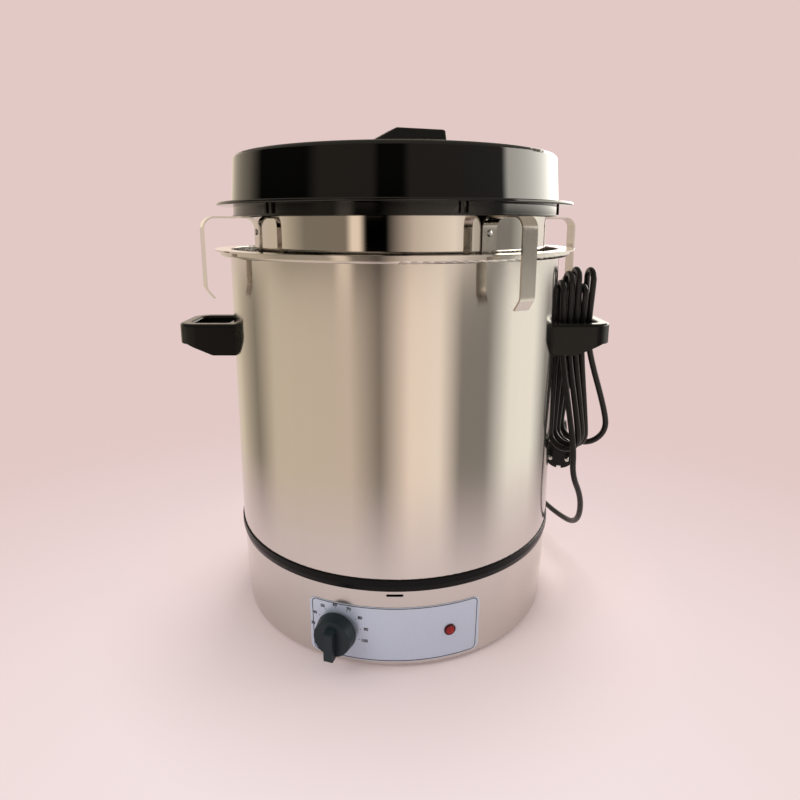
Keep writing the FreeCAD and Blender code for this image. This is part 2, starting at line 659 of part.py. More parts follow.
def hook(node, azimuth):
    r, t, bend = insertRad, s.hookThick, s.hookBend
    drop = r + s.hookReach
    root = s.footHigh + s.hookRoot
    end = s.footHigh + s.hookEnd
    strip = padded(node + "Strip", "XZ_Plane", [[
        (r, root), (r, archTop, bend + t), (drop + t, archTop, bend + t), (drop + t, end + s.kickHigh, 6 + t),
        (drop + t - s.hookKick, end), (drop - s.hookKick, end + 0.8), (drop, end + s.kickHigh, 6),
        (drop, archTop - t, bend), (r + t, archTop - t, bend), (r + t, root)]], s.hookWide)
    holes = []
    for i, down in enumerate((s.rivetUpper, s.rivetUpper + s.rivetPitch)):
        hole = rod(node + "Hole%d" % i, s.rivetRad + 0.05, 8.0)
        hole.Placement = Placement(Vector(float(r) - 2, 0, float(archTop - down)), Rotation(Vector(0, 1, 0), 90))
        holes.append(hole)
    piece = cut(node + "Cut", strip, holes)
    finish(node, piece, shifted(upright(azimuth, 0, 0), x=s.insertShift))


def hookRivets():
    t = s.hookThick
    rivet = turned("hookRivet", [
        (0, -s.insertWall - 1.2), (s.rivetHead, -s.insertWall - 0.9), (s.rivetHead, -s.insertWall - 0.06),
        (s.rivetRad, -s.insertWall - 0.06), (s.rivetRad, t), (s.rivetHead, t), (s.rivetHead * 0.7, t + s.rivetDome * 0.8),
        (0, t + s.rivetDome)])
    finish("hook_rivets", copies("hookRivetGroup", rivet, rivetPlaces(insertRad, s.insertShift)))


# Lid
def lidShell():
    t = s.lidThick
    r0, r1, top = lidWallLow, lidWallTop, lidEdge
    shell = turned("lidTurned", [
        (lidSkirt - t, lidLow), (lidSkirt + s.lidBead, lidLow), (lidSkirt + s.lidBead, lidLow + 1.6),
        (lidSkirt, lidLow + 1.8), (lidSkirt, flangeLow), (lidFlange, flangeLow, 1.2),
        (lidFlange, flangeTop, 1.2), (r0, flangeTop), (r1, top, s.lidRound), (s.lidCentre, lidFlat),
        (0, lidFlat), (0, lidFlat - t), (s.lidCentre, lidFlat - t), (r1 - t, top - t, s.lidRound - t),
        (lidSkirt - t, flangeTop)])
    ribs = []
    for i in range(6):
        for side in (-0.5, 0.5):
            rib = brick("lidRib%d%s" % (i, "a" if side < 0 else "b"), s.lidRibOut + 1, s.lidRib, s.lidSkirtHigh - 2)
            place = upright(s.lidRibAt + 60 * i, 0, 0)
            local = Placement(Vector(float(lidSkirt) - 1, side * float(s.lidRibPitch) - float(s.lidRib) / 2,
                                     float(lidLow) + 2), Rotation())
            rib.Placement = place * local
            ribs.append(rib)
    body = fused("lidRibbed", [shell] + ribs)
    holes = []
    for i, place in enumerate(lidScrewPlaces()):
        hole = rod("lidHole%d" % i, s.lidScrewRad + 0.05, 12.0)
        hole.Placement = shifted(place, z=float(lidFlat) - 8)
        holes.append(hole)
    finish("lid_shell", cut("lidShell", body, holes))


def lidScrewPlaces():
    turn = Rotation(Vector(0, 0, 1), float(s.gripTurn))
    return [Placement(turn * Vector(x, 0, 0), turn) for x in (-float(s.lidScrewLeft), float(s.lidScrewRight))]


def lidHandle():
    low, top = lidFlat, s.footHigh + s.gripTop
    under = top - s.gripBar
    bow = padded("lidBow", "XZ_Plane", [[
        (-s.gripLow, low), (-s.gripLow, low + 2.5), (s.gripRise, top, 6), (s.gripSide, top, 4), (s.gripEnd, low)]],
        s.gripThick)
    doc.recompute()
    gap = newSketch(bow, "bowGap", "XZ_Plane")
    drawLoop(gap, [
        (-s.gripLow + 28, low - 1), (s.gripRise + 4, under, 6), (s.gripSide - 9, under, 6), (s.gripEnd - 13, low - 1)])
    doc.recompute()
    pocket = bow.newObject("PartDesign::Pocket", "bowGapCut")
    pocket.Profile = gap
    pocket.SideType = "Symmetric"
    pocket.Length = float(s.gripThick) + 10
    bind(pocket, "Length", s.gripThick + 10)
    doc.recompute()
    names = []
    for i, edge in enumerate(bow.Shape.Edges, start=1):
        box = edge.BoundBox
        side = min(abs(abs(box.YMin) - float(s.gripThick) / 2), abs(abs(box.YMax) - float(s.gripThick) / 2))
        if box.YLength < 1e-4 and side < 1e-4 and box.ZMax > float(low) + 3:
            if box.ZMin > float(under) + 1 or (box.ZLength > 5 and outerEdge(edge, low, top)):
                names.append("Edge%d" % i)
    ease = bow.newObject("PartDesign::Fillet", "bowEase")
    ease.Base = (pocket, names)
    ease.Radius = float(s.gripEase)
    bind(ease, "Radius", s.gripEase)
    bow.Tip = ease
    holes = []
    for i, x in enumerate((-s.lidScrewLeft, s.lidScrewRight)):
        hole = rod("bowHole%d" % i, s.lidScrewRad + 0.05, s.lidScrewIn + 1.5)
        hole.Placement = Placement(Vector(float(x), 0, float(low) - 1), Rotation())
        holes.append(hole)
    piece = cut("lidHandle", bow, holes)
    finish("lid_handle", piece, Placement(Vector(0, 0, 0), Rotation(Vector(0, 0, 1), float(s.gripTurn))))


def outerEdge(edge, low, top):
    # whether an edge of the lid's bow belongs to its outer outline
    middle = edge.CenterOfMass
    slope = float(top - low - 2.5) / float(s.gripLow + s.gripRise)
    left = float(low) + 2.5 + (middle.x + float(s.gripLow)) * slope
    right = float(s.gripEnd) - (middle.z - float(low)) * float(s.gripEnd - s.gripSide) / float(top - low)
    return abs(middle.z - left) < 1.5 or abs(middle.x - right) < 1.5


def lidScrews():
    low = lidFlat - s.lidThick
    screw = turned("lidScrew", [
        (0, low - 2.4), (s.lidScrewHead, low - 2.0), (s.lidScrewHead, low), (s.lidScrewRad, low),
        (s.lidScrewRad, lidFlat + s.lidScrewIn), (0, lidFlat + s.lidScrewIn)])
    finish("lid_screws", copies("lidScrewGroup", screw, lidScrewPlaces()))


# Cable parts inside the base
def sensorAndBlock():
    under = bodyLow - s.plateThick
    bulb = rod("sensorBulb", s.sensorRad, s.sensorLong)
    bulb.Placement = Placement(Vector(-float(s.sensorLong) / 2, -66, float(under - s.sensorRad)),
                               Rotation(Vector(0, 1, 0), 90))
    a = math.radians(float(s.knobAt))
    r = float(shellRadius(knobHeight)) - 34.5
    top = float(knobHeight) + float(s.controlHigh) / 2
    low = float(under - 2 * s.coilTube - s.tubeRad) - 3
    end = -float(s.sensorLong) / 2
    spots = [Vector(r * math.sin(a) + 8, -r * math.cos(a) + 8, top),
             Vector(r * math.sin(a) + 8, -r * math.cos(a) + 8, low),
             Vector(end - 28, -60, low),
             Vector(end - 14, -66, float(under - s.sensorRad)),
             Vector(end + 1, -66, float(under - s.sensorRad))]
    tube = doc.addObject("Part::Feature", "sensorTube")
    tube.Shape = bentRod(spots, float(s.tubeRad), 5.0)
    finish("sensor", fused("sensor", [bulb, tube]))
    block = brick("terminalBlock", s.blockWide, s.blockLong, s.blockHigh)
    turn = upright(s.glandAt, s.blockAt, floorTop)
    block.Placement = turn * Placement(Vector(-float(s.blockWide) / 2, -float(s.blockLong) / 2, 0), Rotation())
    finish("terminal_block", block)


def bendPath(spots, limit=None):
    # straight runs joined by tangent arcs; each arc takes 0.45 of its shorter run
    edges, radii, last = [], [], spots[0]
    for i in range(1, len(spots) - 1):
        back = spots[i - 1] - spots[i]
        ahead = spots[i + 1] - spots[i]
        take = 0.45 * min(back.Length, ahead.Length)
        back.normalize()
        ahead.normalize()
        half = back.getAngle(ahead) / 2
        radius = take * math.tan(half)
        if limit is not None and radius > limit:
            radius = limit
            take = radius / math.tan(half)
        start, stop = spots[i] + back * take, spots[i] + ahead * take
        middle = spots[i] + (back + ahead).normalize() * (radius / math.sin(half) - radius)
        edges.append(Part.LineSegment(last, start).toShape())
        edges.append(Part.Arc(start, middle, stop).toShape())
        radii.append(radius)
        last = stop
    edges.append(Part.LineSegment(last, spots[-1]).toShape())
    return Part.Wire(edges), radii


def tubeAlong(path, radius):
    start = path.Edges[0].valueAt(path.Edges[0].FirstParameter)
    along = path.Edges[0].tangentAt(path.Edges[0].FirstParameter)
    ring = Part.Wire([Part.Circle(start, along, radius).toShape()])
    shell = Part.BRepOffsetAPI.MakePipeShell(path)
    shell.add(ring)
    shell.build()
    shell.makeSolid()
    solid = shell.shape()
    return solid


def bentRod(spots, radius, limit=None):
    path, radii = bendPath(spots, limit)
    return tubeAlong(path, radius)


# Mains cord: gland, free stretch, hank hung through the right handle, angled plug
cordSpots = [
    (163.5, 166.5, 46.0), (187.0, 147.5, 46.5), (198.5, 112.0, 45.0), (206.0, 76.0, 44.5),
    (216.0, 44.0, 45.5), (222.5, 18.0, 51.0), (222.5, -6.0, 72.0), (217.5, -20.0, 104.0)]


def glandEnd():
    seat = float(shellRadius(s.footHigh + s.glandZ)) + float(s.glandOut)
    return radial(s.glandAt, seat, s.footHigh + s.glandZ)


def leadPoints():
    place = glandEnd()
    out = place.Rotation.multVec(Vector(0, 0, 1))
    end = hankStations()[0]
    return ([place.Base, place.Base + out * 22] + [Vector(*spot) for spot in cordSpots]
            + [end - Vector(0, 0, 36), end])


def turnedSpot(cx, cy, angle, along, across):
    # a strand's place in plan: along runs rearmost to frontmost, across runs from left to right
    a = math.radians(angle)
    return (cx + across * math.cos(a) + along * math.sin(a), cy + across * math.sin(a) - along * math.cos(a))


# heights of the upper and lower bights, and how far the last lower bight swings out
loopTops = [352.0, 362.0, 366.5, 348.0, 366.0]
loopLows = [161.0, 164.0, 162.0, 160.0]
loopSwing = (23.5, 12.0)


def strandSpot(level, i, front):
    across = {"top": s.loopTopPitch, "waist": s.waistPitch, "low": s.loopLowPitch}[level].value * (i - 2)
    along = {"top": s.loopTopHalf, "waist": s.waistHalf, "low": s.loopLowHalf}[level].value * (1 if front else -1)
    if level == "top":
        x, y = turnedSpot(0.0, 0.0, s.loopTopTurn.value, along, 0.0)
        return (s.loopTopX.value + across + x, s.waistY.value + y)
    if level == "waist":
        return turnedSpot(s.waistX.value, s.waistY.value, s.waistTurn.value, along, across)
    return turnedSpot(s.loopLowX.value, s.loopLowY.value, s.loopLowTurn.value, along, across)


def hankStations():
    # stations with upright tangents: (x, y, z) in the order of the cord
    r = s.loopTopHalf.value
    stations = [Vector(*strandSpot("low", -1, True), 172.0)]
    for i in range(5):
        stations.append(Vector(*strandSpot("waist", i, True), s.waistZ.value))
        stations.append(Vector(*strandSpot("top", i, True), loopTops[i] - r))
        stations.append(Vector(*strandSpot("top", i, False), loopTops[i] - r))
        stations.append(Vector(*strandSpot("waist", i, False), s.waistZ.value))
        if i < 4:
            left, right = strandSpot("low", i, False), strandSpot("low", i, True)
            if i == 3:
                right = (right[0] + loopSwing[0], right[1] + loopSwing[1])
            half = math.hypot(right[0] - left[0], right[1] - left[1]) / 2
            stations.append(Vector(*left, loopLows[i] + half))
            stations.append(Vector(*right, loopLows[i] + half))
    neck = float(s.footHigh + s.plugZ + s.plugRad + s.plugNeckHigh)
    stations.append(Vector(float(s.plugX), float(s.plugY), neck))
    return stations


def hankPath(stations):
    edges = []

    def arc(a, b, c):
        edges.append(Part.Arc(a, b, c).toShape())

    def bend(a, b):
        # two arcs of opposite sense between upright tangents
        flat = Vector(b.x - a.x, b.y - a.y, 0)
        rise = b.z - a.z
        d = flat.Length
        radius = (rise * rise + d * d) / (4 * d)
        half = math.asin(abs(rise) / 2 / radius) / 2
        way = flat.normalize()
        lift = Vector(0, 0, 1 if rise > 0 else -1)
        middle = (a + b) * 0.5
        first = a + way * (radius * (1 - math.cos(half))) + lift * (radius * math.sin(half))
        second = b - way * (radius * (1 - math.cos(half))) - lift * (radius * math.sin(half))
        arc(a, first, middle)
        arc(middle, second, b)

    def half(a, b):
        middle = (a + b) * 0.5
        up = Vector(0, 0, 1 if a.z > float(s.waistZ) else -1)
        arc(a, middle + up * ((b - a).Length / 2), b)

    count = len(stations)
    lead = stations[0] + Vector(0, 0, 2 * s.cordRad.value)
    edges.append(Part.LineSegment(stations[0], lead).toShape())
    here = lead
    for i in range(1, count - 1):
        there = stations[i]
        if abs(there.z - here.z) < 1e-6:
            half(here, there)
        else:
            bend(here, there)
        here = there
    last = stations[-1] + Vector(0, 0, 2 * s.cordRad.value)
    bend(here, last)
    edges.append(Part.LineSegment(last, stations[-1]).toShape())
    return Part.Wire(edges)


def selfGap(path, radius):
    # least distance between strands, measured on points along the wire
    points, lengths, total = [], [], 0.0
    for edge in path.Edges:
        steps = max(2, int(edge.Length / 3.0))
        for k in range(steps):
            here = edge.valueAt(edge.FirstParameter + (edge.LastParameter - edge.FirstParameter) * k / steps)
            if points:
                total += (here - points[-1]).Length
            points.append(here)
            lengths.append(total)
    least, spot = 1e9, None
    for i in range(len(points)):
        for j in range(i + 4, len(points)):
            if lengths[j] - lengths[i] > 9 * radius:
                d = points[i].distanceToPoint(points[j])
                if d < least:
                    least, spot = d, points[i]
    return least - 2 * radius, spot


def mainsCord():
    place = glandEnd()
    skin = float(shellRadius(s.footHigh + s.glandZ))
    sleeve = turned("glandTurned", [
        (s.cordRad + 0.1, -9), (s.glandRad - 2.1, -9), (s.glandRad - 2.1, 0.5),
        (s.glandRad, 0.5), (s.glandRad, 3), (s.cordRad + 2.2, s.glandOut), (s.cordRad + 0.1, s.glandOut)])
    finish("cable_gland", sleeve, radial(s.glandAt, skin, s.footHigh + s.glandZ))
    spots = leadPoints()
    inside = place.multVec(Vector(0, 0, -float(s.glandOut) - 22))
    path, radii = bendPath(spots)
    print("cord_lead radii", " ".join("%.0f" % r for r in radii), "length %.0f" % path.Length)
    stub = Part.LineSegment(inside, spots[0]).toShape()
    whole = Part.Wire([stub] + path.Edges)
    lead = doc.addObject("Part::Feature", "cordLead")
    lead.Shape = tubeAlong(whole, float(s.cordRad))
    section = math.pi * float(s.cordRad) ** 2
    print("cord_lead volume ratio %.4f" % (lead.Shape.Volume / (section * whole.Length)))
    finish("cord_lead", lead)
    loops = hankPath(hankStations())
    least, spot = selfGap(loops, float(s.cordRad))
    print("cord_hank length %.0f, least self gap %.2f at %s" % (loops.Length, least, spot))
    hank = doc.addObject("Part::Feature", "cordHank")
    hank.Shape = tubeAlong(loops, float(s.cordRad))
    print("cord_hank volume ratio %.4f" % (hank.Shape.Volume / (section * loops.Length)))
    finish("cord_hank", hank)


def plugPlace():
    # local Z is the pins' way, local Y up
    spot = Vector(float(s.plugX), float(s.plugY), float(s.footHigh + s.plugZ))
    return Placement(spot, Rotation(Vector(0, 0, 1), float(s.plugTurn)) * Rotation(Vector(1, 0, 0), 90))


def mainsPlug():
    place = plugPlace()
    deep = s.plugDeep / 2
    disc = turned("plugDisc", [
        (0, -deep), (s.plugRad - 5, -deep, 2), (s.plugRad, -deep + 5, 2), (s.plugRad, deep), (0, deep)])
    disc.Placement = place
    neck = turned("plugNeck", [
        (0, 0), (s.plugNeck + 2, 0), (s.plugNeck + 1.5, s.plugRad + 2), (s.plugNeck - 1, s.plugRad + s.plugNeckHigh),
        (0, s.plugRad + s.plugNeckHigh)])
    neck.Placement = Placement(place.Base, Rotation(Vector(0, 0, 1), float(s.plugTurn)))
    solid = fused("plugSolid", [disc, neck])
    holes = []
    for i, x in enumerate((-s.pinHalf, s.pinHalf)):
        hole = rod("plugPinHole%d" % i, s.pinRad + 0.02, 12.0)
        hole.Placement = place * Placement(Vector(float(x), 0, float(deep) - 8), Rotation())
        holes.append(hole)
    for i, y in enumerate((-1, 1)):
        groove = brick("plugGroove%d" % i, s.clipWide + 0.1, s.clipThick + 2.05, s.plugDeep * 0.6)
        low = float(s.plugRad) - float(s.clipThick) - 2 if y > 0 else -float(s.plugRad) - 0.05
        groove.Placement = place * Placement(Vector(-float(s.clipWide) / 2 - 0.05, low,
                                                    float(deep) - float(s.plugDeep) * 0.6 + 0.01), Rotation())
        holes.append(groove)
    finish("plug_body", cut("plugBody", solid, holes))
    pin = turned("plugPin", [
        (0, -8), (s.pinRad, -8), (s.pinRad, s.pinLong - 1.2), (s.pinRad - 1.2, s.pinLong), (0, s.pinLong)])
    spots = [place * Placement(Vector(float(x), 0, float(deep)), Rotation()) for x in (-s.pinHalf, s.pinHalf)]
    finish("plug_pins", copies("plugPinGroup", pin, spots))
    clip = brick("earthClip", s.clipWide, s.clipThick, s.plugDeep * 0.6 - 0.4)
    doc.recompute()
    lows = (float(s.plugRad) - float(s.clipThick) - 1.9, -float(s.plugRad) + 1.9)
    places = [place * Placement(Vector(-float(s.clipWide) / 2, y, float(deep) - float(s.plugDeep) * 0.6 + 0.3),
                                Rotation()) for y in lows]
    finish("plug_earth_clips", copies("earthClipGroup", clip, places))


def main():
    baseShell()
    baseFloor()
    feet()
    jointRing()
    outerVessel()
    tieRods()
    heater()
    front = control()
    knobPieces(front)
    lampPieces()
    labelPlate()
    sideHandle("handle_right", 90)
    sideHandle("handle_left", -90)
    handleScrews()
    insertPot()
    for node, azimuth in (("hook_left", s.hookA), ("hook_front_right", s.hookB), ("hook_rear_right", s.hookC),
                          ("hook_rear_left", s.hookD)):
        hook(node, azimuth)
    hookRivets()
    lidShell()
    lidHandle()
    lidScrews()
    sensorAndBlock()
    mainsCord()
    mainsPlug()
    doc.recompute()
    for obj in doc.Objects:
        if "Invalid" in obj.State or "Error" in obj.State:
            raise RuntimeError("%s failed: %s" % (obj.Name, obj.State))
    for node, obj in parts:
        if obj.Shape.isNull() or not obj.Shape.isValid():
            raise RuntimeError("%s has no valid shape" % node)
    os.makedirs("parts", exist_ok=True)
    for node, obj in parts:
        print("%-18s solids %d volume %.0f" % (node, len(obj.Shape.Solids), obj.Shape.Volume))
        obj.Shape.exportStep("parts/%s.step" % node)


main()
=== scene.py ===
import bmesh
import bpy
import json
import math
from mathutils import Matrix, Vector


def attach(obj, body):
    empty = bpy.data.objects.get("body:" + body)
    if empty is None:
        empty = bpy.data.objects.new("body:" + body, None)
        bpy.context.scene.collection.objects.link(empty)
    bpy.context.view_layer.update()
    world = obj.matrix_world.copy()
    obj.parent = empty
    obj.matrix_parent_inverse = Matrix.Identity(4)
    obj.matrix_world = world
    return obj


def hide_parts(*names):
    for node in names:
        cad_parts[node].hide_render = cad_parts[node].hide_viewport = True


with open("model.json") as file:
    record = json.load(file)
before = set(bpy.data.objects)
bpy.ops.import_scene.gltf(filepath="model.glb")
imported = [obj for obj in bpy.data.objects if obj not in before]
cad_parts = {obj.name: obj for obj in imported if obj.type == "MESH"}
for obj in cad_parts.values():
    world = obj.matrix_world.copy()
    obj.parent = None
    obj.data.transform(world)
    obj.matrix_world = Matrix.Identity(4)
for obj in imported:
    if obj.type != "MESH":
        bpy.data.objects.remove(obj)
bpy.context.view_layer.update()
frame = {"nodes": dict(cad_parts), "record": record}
nodes = frame["nodes"]
print("frame loaded,", len(nodes), "nodes")


# Camera: the photograph's pinhole, straight ahead of the vessel and looking a little down
camera = {"ahead": 0.6709, "height": 0.4169, "down": 11.7, "lens": 26.95, "shift": (0.0065, -0.066)}


def makeCamera():
    data = bpy.data.cameras.new("camera")
    data.lens = camera["lens"]
    data.sensor_width = 36
    data.shift_x, data.shift_y = camera["shift"]
    data.clip_end = 60
    eye = bpy.data.objects.new("camera", data)
    bpy.context.scene.collection.objects.link(eye)
    eye.location = (0, -camera["ahead"], camera["height"])
    eye.rotation_euler = (math.radians(90 - camera["down"]), 0, 0)
    bpy.context.scene.camera = eye
    bpy.context.scene.view_settings.view_transform = "Standard"


makeCamera()
print("camera set")


# Mains cord: one spline from the gland through the hank to the plug
mainsCord = {
    "diameter": 0.0067, "length": 2.45,
    "lead": [
        (0.1199, 0.1429, 0.0450), (0.1350, 0.1608, 0.0450), (0.1635, 0.1665, 0.0460),
        (0.1870, 0.1475, 0.0465), (0.1985, 0.1120, 0.0450), (0.2060, 0.0760, 0.0445),
        (0.2160, 0.0440, 0.0455), (0.2225, 0.0180, 0.0510), (0.2225, -0.0060, 0.0720),
        (0.2175, -0.0200, 0.1040), (0.20208, -0.03228, 0.1360)],
}
hankLoops = {
    "tops": [0.3520, 0.3620, 0.3665, 0.3480, 0.3660], "lows": [0.1610, 0.1640, 0.1620, 0.1600],
    "waistAt": 0.296, "swing": (0.0235, 0.012),
    "middle": {"top": (0.2026, 0.0), "waist": (0.2024, 0.0), "low": (0.2070, -0.0020)},
    "half": {"top": 0.0094, "waist": 0.0066, "low": 0.0175},
    "pitch": {"top": 0.0080, "waist": 0.00775, "low": 0.0084},
    "turn": {"top": 4, "waist": 8, "low": 46},
    "gripped": 0.016, "start": 0.166, "end": (0.2040, 0.0290, 0.1805), "tail": (0.030, 0.010),
}
octagon = {"halfSide": 0.414, "rest": 0.586}  # of a loop's half width


def strandSpot(level, i, front):
    h = hankLoops
    middle = h["middle"][level]
    a = math.radians(h["turn"][level])
    lean = 0.0 if level == "top" else a  # the upper bights stand in a straight row
    across = h["pitch"][level] * (i - 2)
    along = h["half"][level] * (1 if front else -1)
    return Vector((middle[0] + across * math.cos(lean) + along * math.sin(a),
                   middle[1] + across * math.sin(lean) - along * math.cos(a), 0))


def bight(a, b, height, up):
    # six points round the end of a loop, half an octagon and a step down each strand
    half = (b - a).length / 2
    way = (b - a).normalized()
    edge = Vector((0, 0, height - up * half))
    lift = Vector((0, 0, up * half))
    side = octagon["halfSide"] * lift
    over = octagon["rest"] * half * way
    return [a + edge - side, a + edge + side, a + edge + over + lift,
            b + edge - over + lift, b + edge + side, b + edge - side]


def hankPoints():
    h = hankLoops
    waist = Vector((0, 0, h["waistAt"]))
    step = Vector((0, 0, h["gripped"]))
    first = strandSpot("low", -1, True) + Vector((0, 0, h["start"]))
    top = strandSpot("waist", 0, True) + waist - step
    points = [first, first.lerp(top, 0.25)]
    for i in range(5):
        front, back = strandSpot("waist", i, True) + waist, strandSpot("waist", i, False) + waist
        points += [front - step, front + step]
        points += bight(strandSpot("top", i, True), strandSpot("top", i, False), h["tops"][i], 1)
        points += [back + step, back - step]
        if i < 4:
            right = strandSpot("low", i, True)
            if i == 3:
                right = right + Vector((h["swing"][0], h["swing"][1], 0))
            points += bight(strandSpot("low", i, False), right, h["lows"][i], -1)
    end = Vector(h["end"])
    return points + [end + Vector((0, 0, rise)) for rise in h["tail"]] + [end]


def makeCord():
    curve = bpy.data.curves.new("mainsCord", "CURVE")
    curve.dimensions = "3D"
    points = [Vector(p) for p in mainsCord["lead"]] + hankPoints()
    spline = curve.splines.new("NURBS")
    spline.points.add(len(points) - 1)
    for point, spot in zip(spline.points, points):
        point.co = (*spot, 1)
        point.radius = mainsCord["diameter"] / 2  # the curve's box grows by this, so it can't stay at 1
    spline.order_u = 3
    spline.use_endpoint_u = True
    spline.resolution_u = 8
    curve.bevel_depth = 1.0
    curve.bevel_resolution = 5
    curve.use_fill_caps = True
    cord = bpy.data.objects.new("mainsCord", curve)
    bpy.context.scene.collection.objects.link(cord)
    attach(cord, "vessel")
    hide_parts("cord_lead", "cord_hank")
    return cord


cord = makeCord()
print("cord laid")


# Shader helpers: a value is a socket that can be added, multiplied and compared in plain Python
class Value:
    def __init__(self, tree, socket):
        self.tree = tree
        self.socket = socket

    def join(self, operation, a, b=0.0):
        return self.tree.node("Math", {"operation": operation}, {0: a, 1: b})

    def __add__(self, other):
        return self.join("ADD", self, other)

    def __radd__(self, other):
        return self.join("ADD", other, self)

    def __sub__(self, other):
        return self.join("SUBTRACT", self, other)

    def __rsub__(self, other):
        return self.join("SUBTRACT", other, self)

    def __mul__(self, other):
        return self.join("MULTIPLY", self, other)

    def __rmul__(self, other):
        return self.join("MULTIPLY", other, self)

    def __truediv__(self, other):
        return self.join("DIVIDE", self, other)

    def __pow__(self, other):
        return self.join("POWER", self, other)

    def __lt__(self, other):
        return self.join("LESS_THAN", self, other)

    def __gt__(self, other):
        return self.join("GREATER_THAN", self, other)

    def size(self):
        return self.join("ABSOLUTE", self)

    def high(self, other):
        return self.join("MAXIMUM", self, other)

    def low(self, other):
        return self.join("MINIMUM", self, other)


class Tree:
    def __init__(self, tree):
        self.tree = tree

    def node(self, kind, settings=None, inputs=None, output=0):
        made = self.tree.nodes.new("ShaderNode" + kind)
        for word, value in (settings or {}).items():
            if word == "stops":
                ramp = made.color_ramp
                for i, (place, shade) in enumerate(value):
                    stop = ramp.elements[i] if i < 2 else ramp.elements.new(place)
                    stop.position = place
                    stop.color = shade
            else:
                setattr(made, word, value)
        for word, value in (inputs or {}).items():
            if isinstance(value, Value):
                self.tree.links.new(value.socket, made.inputs[word])
            else:
                made.inputs[word].default_value = value
        return Value(self, made.outputs[output])

    def place(self):
        return self.node("TexCoord", output="Object")

    def split(self, vector):
        parts = self.node("SeparateXYZ", None, {0: vector})
        return [Value(self, out) for out in parts.socket.node.outputs]

    def vector(self, x, y, z):
        return self.node("CombineXYZ", None, {0: x, 1: y, 2: z})

    def stretched(self, vector, scale):
        return self.node("VectorMath", {"operation": "MULTIPLY"}, {0: vector, 1: scale})

    def noise(self, vector, scale, detail=3.0, rough=0.5):
        return self.node("TexNoise", None,
                         {"Vector": vector, "Scale": scale, "Detail": detail, "Roughness": rough})

    def mix(self, part, one, two):
        made = self.node("Mix", {"data_type": "RGBA"}, {0: part}, output=2)
        node = made.socket.node
        for index, value in ((6, one), (7, two)):
            if isinstance(value, Value):
                self.tree.links.new(value.socket, node.inputs[index])
            else:
                node.inputs[index].default_value = tuple(value)[:3] + (1,)
        return made

    def round(self, spot):
        # azimuth about the vessel's axis, in radians from the front, and the height
        x, y, z = self.split(spot)
        return self.node("Math", {"operation": "ARCTAN2"}, {0: x, 1: 0.0 - y}), z

    def ramp(self, part, stops):
        return self.node("ValToRGB", {"stops": [(a, (*b, 1)) for a, b in stops]}, {0: part})


class Finish(Tree):
    def __init__(self, name, color, rough, metal=0.0, **fixed):
        self.material = bpy.data.materials.new(name)
        self.material.use_nodes = True
        Tree.__init__(self, self.material.node_tree)
        self.shader = self.tree.nodes["Principled BSDF"]
        self.put("Base Color", tuple(color) + (1,))
        self.put("Roughness", rough)
        self.put("Metallic", metal)
        for word, value in fixed.items():
            self.put(word.replace("_", " "), value)

    def put(self, word, value):
        if isinstance(value, Value):
            self.tree.links.new(value.socket, self.shader.inputs[word])
        else:
            self.shader.inputs[word].default_value = value

    def bump(self, height, strength, depth=0.0002):
        self.put("Normal", self.node("Bump", None,
                                     {"Height": height, "Strength": strength, "Distance": depth}))


def shade(color, factor):
    return tuple(min(1.0, c * factor) for c in color[:3])


# Steel: hairlines run round the vessel and handling marks change the shine a little; broad upright bands
# painted lighter and darker round it are a painted reflection
steel = {"body": (0.64, 0.61, 0.575), "insert": (0.60, 0.57, 0.53), "hook": (0.60, 0.565, 0.52),
         "bodyRough": 0.13, "insertRough": 0.04, "hookRough": 0.14}


def spunSteel(name, color, rough, lines=0.35, anisotropic=0.85, hairAndSheen=0.05):
    made = Finish(name, color, rough, 1.0, Anisotropic=anisotropic, Anisotropic_Rotation=0.25)
    turn, high = made.round(made.place())
    hair = made.noise(made.vector(turn * 0.9, high * 900.0, 0.0), 1.0, 4.0, 0.7)
    # upright bands round the vessel, painted lighter and darker in the colour: a painted reflection of the
    # room
    sheenBand = made.noise(made.vector(turn * 16.0, high * 0.8, 0.3), 1.0, 3.0)
    smear = made.noise(made.vector(turn * 3.0, high * 16.0, 4.0), 1.6, 5.0, 0.6)
    # the colour's tone adds the real hairline grain and the painted reflection bands
    tone = (hair - 0.5) * 0.5 + (sheenBand - 0.5) * 1.2
    made.put("Base Color", made.mix((0.5 + tone * hairAndSheen * 6.0).low(1.0).high(0.0), shade(color, 1 - hairAndSheen),
                                    shade(color, 1 + hairAndSheen)))
    made.put("Roughness", rough * (0.85 + smear * 0.2 + hair * 0.1))
    made.bump(hair, lines * 0.05, 0.0001)
    return made.material


def plainSteel(name, color, rough, grain=400.0, along=(1.0, 1.0, 0.03)):
    made = Finish(name, color, rough, 1.0)
    spot = made.place()
    hair = made.noise(made.stretched(spot, tuple(a * grain for a in along)), 1.0, 3.0, 0.6)
    smear = made.noise(spot, 40.0, 3.0)
    made.put("Base Color", made.mix(hair, shade(color, 0.93), shade(color, 1.05)))
    made.put("Roughness", rough + (smear - 0.5) * 0.12 + (hair - 0.5) * 0.08)
    made.bump(hair, 0.05, 0.0002)
    return made.material


# Plastics and rubber: a moulded grain, and a little dust that dulls the shine
plastic = {
    "gloss": (0.0028, 0.0030, 0.0026), "matt": (0.0045, 0.0050, 0.0045), "knob": (0.0150, 0.0255, 0.0310),
    "ring": (0.0030, 0.0034, 0.0038), "cord": (0.0032, 0.0032, 0.0034), "white": (0.62, 0.61, 0.57),
    "dust": (0.05, 0.047, 0.044), "cordDust": (0.025, 0.024, 0.023), "cordRough": 0.34,
}


